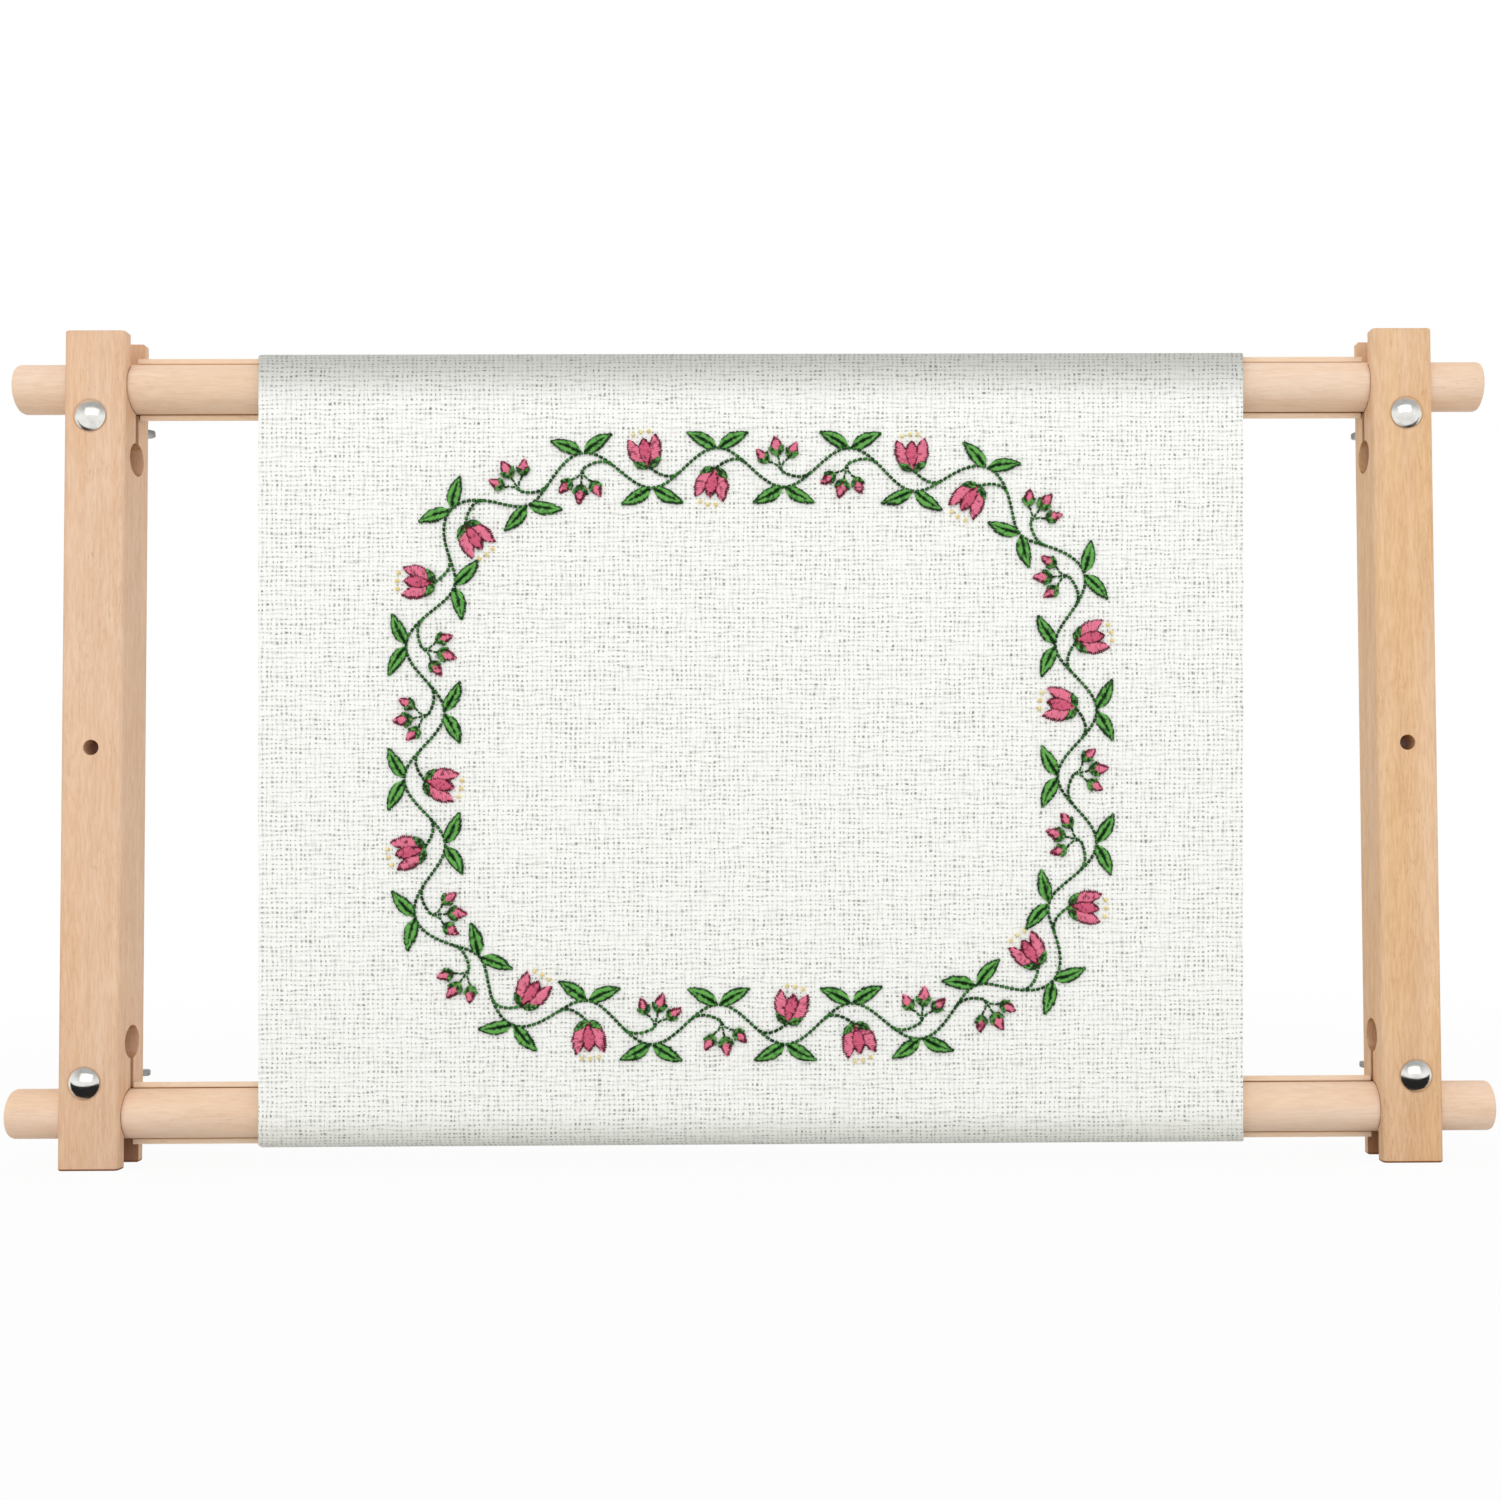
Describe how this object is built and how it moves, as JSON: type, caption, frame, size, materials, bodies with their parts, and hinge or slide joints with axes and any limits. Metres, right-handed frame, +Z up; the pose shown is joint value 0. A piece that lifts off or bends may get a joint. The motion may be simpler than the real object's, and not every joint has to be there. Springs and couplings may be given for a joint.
{
  "type": "embroidery scroll frame",
  "caption": "Wooden embroidery scroll frame: side bars with bolted, split clamp ends hold turning rollers, and clips hold a stretched white cloth between them.",
  "frame": {"origin": "centre of the bottom face of the bounding box, between the lower ends of the side bars", "axes": "+X along the rollers to the right, +Y from front to back through the frame's thickness, +Z up along the side bars"},
  "size_m": [0.6, 0.042, 0.338],
  "materials": {
    "beech_left": "bare sanded beech",
    "beech_right": "bare sanded beech, warmer",
    "roller_beech": "bare turned beech dowel",
    "clip_wood": "bare half-round moulding, yellower",
    "cloth": "matt even-weave cotton and linen",
    "nickel": "bright nickel plate"
  },
  "bodies": {
    "left_bar": {"side_bar_left": "beech_left", "cloth": "cloth", "carriage_bolt_left_top": "nickel", "washer_left_top": "nickel", "carriage_bolt_left_bottom": "nickel", "washer_left_bottom": "nickel"},
    "right_bar": {"side_bar_right": "beech_right", "carriage_bolt_right_top": "nickel", "washer_right_top": "nickel", "carriage_bolt_right_bottom": "nickel", "washer_right_bottom": "nickel"},
    "top_roller": {"roller_top": "roller_beech", "clip_top": "clip_wood", "cloth_wound_top": "cloth"},
    "bottom_roller": {"roller_bottom": "roller_beech", "clip_bottom": "clip_wood", "cloth_wound_bottom": "cloth"},
    "nut_left_top": {"wing_nut_left_top": "nickel"},
    "nut_left_bottom": {"wing_nut_left_bottom": "nickel"},
    "nut_right_top": {"wing_nut_right_top": "nickel"},
    "nut_right_bottom": {"wing_nut_right_bottom": "nickel"}
  },
  "joints": [
    {"name": "top_roller_turn", "type": "hinge", "parent": "left_bar", "child": "top_roller", "pos_m": [0, -0.0051, 0.317], "axis": [1, 0, 0], "range_deg": [-180, 180]},
    {"name": "bottom_roller_turn", "type": "hinge", "parent": "left_bar", "child": "bottom_roller", "pos_m": [0, -0.0051, 0.021], "axis": [1, 0, 0], "range_deg": [-180, 180]},
    {"name": "right_bar_slide", "type": "slide", "parent": "left_bar", "child": "right_bar", "axis": [1, 0, 0], "range_m": [0, 0.02]},
    {"name": "nut_left_top_turn", "type": "hinge", "parent": "left_bar", "child": "nut_left_top", "pos_m": [-0.26645, 0.0088, 0.3032], "axis": [0, 1, 0], "continuous": true},
    {"name": "nut_left_bottom_turn", "type": "hinge", "parent": "left_bar", "child": "nut_left_bottom", "pos_m": [-0.26645, 0.0088, 0.0348], "axis": [0, 1, 0], "continuous": true},
    {"name": "nut_right_top_turn", "type": "hinge", "parent": "right_bar", "child": "nut_right_top", "pos_m": [0.26645, 0.0088, 0.3032], "axis": [0, 1, 0], "continuous": true},
    {"name": "nut_right_bottom_turn", "type": "hinge", "parent": "right_bar", "child": "nut_right_bottom", "pos_m": [0.26645, 0.0088, 0.0348], "axis": [0, 1, 0], "continuous": true}
  ],
  "couplings": [
    {"joint": "bottom_roller_turn", "follows": "top_roller_turn", "ratio": 1}
  ]
}
